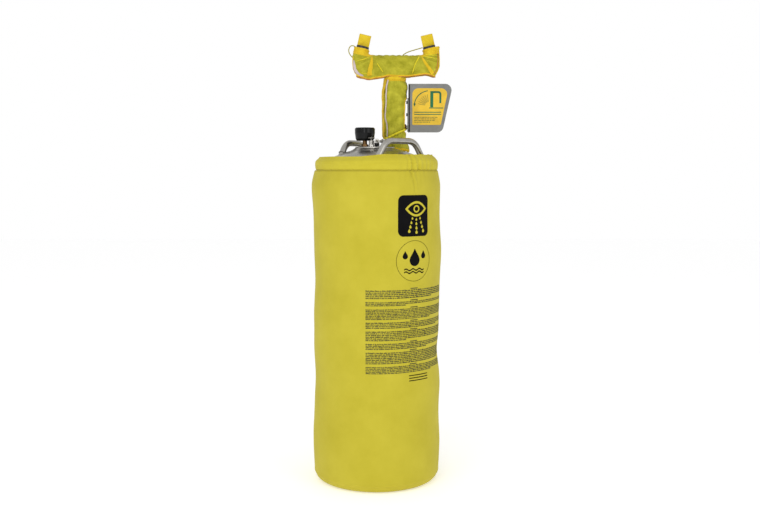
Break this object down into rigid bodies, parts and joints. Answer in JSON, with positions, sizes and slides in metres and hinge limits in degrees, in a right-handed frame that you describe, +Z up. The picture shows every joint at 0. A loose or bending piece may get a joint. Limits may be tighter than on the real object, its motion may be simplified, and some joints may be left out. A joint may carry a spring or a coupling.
{
  "type": "portable eyewash station",
  "caption": "Portable eyewash: jacketed pressure tank with oval lid, gauge and lift handles; a riser with a pull-down flag valve carries two capped spray nozzles under a fabric cover.",
  "frame": {"origin": "on the floor, on the tank's axis, at the centre of the jacket's bottom face", "axes": "+Z up along the tank's axis, front towards -Y, flag handle towards +X"},
  "size_m": [0.3627, 0.3318, 1.1691],
  "materials": {
    "jacket_fabric": "knit-faced foam laminate",
    "hem_fabric": "knit-faced foam laminate, stitched",
    "cord": "braided cord",
    "nylon": "coated woven nylon",
    "webbing": "ribbed webbing",
    "stainless": "satin stainless",
    "steel_wire": "polished stainless wire",
    "brass": "turned brass",
    "chromed": "chrome plated",
    "black_rubber": "moulded rubber",
    "black_plastic": "moulded plastic",
    "white_plastic": "PTFE and dial white",
    "grey_plate": "grey satin plate",
    "label": "printed label film",
    "lens": "clear",
    "dark_steel": "blackened steel"
  },
  "bodies": {
    "station": {"air_valve_body": "brass", "bail_bracket": "stainless", "dip_tube": "stainless", "elbows": "chromed", "flow_controls": "black_plastic", "foot_ring": "stainless", "gauge_case": "black_rubber", "gauge_dial": "white_plastic", "gauge_lens": "lens", "gauge_movement": "brass", "gauge_stem": "brass", "head_cover": "nylon", "head_tee": "brass", "hem_drawcord": "cord", "jacket_bottom": "jacket_fabric", "jacket_hem": "hem_fabric", "jacket_side": "jacket_fabric", "lid_gasket": "black_rubber", "lid_plate": "stainless", "lift_handle_left": "stainless", "lift_handle_right": "stainless", "neck_ring": "stainless", "packing_nut": "brass", "relief_body": "stainless", "relief_spring": "steel_wire", "riser_bushing": "stainless", "riser_pipe_lower": "stainless", "riser_pipe_upper": "stainless", "riser_sleeve": "nylon", "sleeve_tie": "webbing", "spray_faces": "chromed", "spray_head_left": "chromed", "spray_head_right": "chromed", "strainer": "stainless", "tank_shell": "stainless", "tether_left": "cord", "tether_right": "cord", "valve_body": "brass", "valve_seats": "white_plastic", "yoke_pipes": "chromed"},
    "flag_valve": {"valve_ball": "steel_wire", "valve_stem": "steel_wire", "lever_arm": "grey_plate", "flag_plate": "grey_plate", "flag_label": "label", "stem_nut": "dark_steel", "flag_screws": "dark_steel"},
    "bail": {"bail_wire": "steel_wire", "bail_feet": "black_rubber"},
    "relief": {"relief_stem": "steel_wire", "relief_ring": "steel_wire"},
    "needle": {"gauge_needle": "black_plastic"},
    "air_core": {"air_valve_core": "steel_wire"},
    "air_cap": {"air_valve_cap": "chromed"},
    "cap_left": {"dust_cap_left": "black_plastic", "pull_tab_left": "webbing"},
    "cap_right": {"dust_cap_right": "black_plastic", "pull_tab_right": "webbing"}
  },
  "joints": [
    {"name": "flag_turn", "type": "hinge", "parent": "station", "child": "flag_valve", "pos_m": [0.051, 0.06, 0.925], "axis": [1, 0, 0], "range_deg": [0, 90]},
    {"name": "bail_lift", "type": "hinge", "parent": "station", "child": "bail", "pos_m": [0.001, 0, 0.886], "axis": [0, -1, 0], "range_deg": [0, 90]},
    {"name": "relief_pull", "type": "slide", "parent": "station", "child": "relief", "axis": [0, 0, 1], "range_m": [0, 0.004], "stiffness_N_per_m": 1500, "springref_m": -0.004, "deforming": ["relief_spring"]},
    {"name": "needle_swing", "type": "hinge", "parent": "station", "child": "needle", "pos_m": [-0.03, 0, 0.9], "axis": [0, 0, -1], "range_deg": [0, 270]},
    {"name": "air_core_press", "type": "slide", "parent": "station", "child": "air_core", "axis": [0, 0, -1], "range_m": [0, 0.0015], "stiffness_N_per_m": 400, "springref_m": -0.003},
    {"name": "air_cap_off", "type": "slide", "parent": "station", "child": "air_cap", "axis": [0, 0, 1], "range_m": [0, 0.02]},
    {"name": "cap_left_off", "type": "slide", "parent": "station", "child": "cap_left", "axis": [0.225, 0, 0.9744], "range_m": [0, 0.03]},
    {"name": "cap_right_off", "type": "slide", "parent": "station", "child": "cap_right", "axis": [-0.225, 0, 0.9744], "range_m": [0, 0.03]}
  ]
}
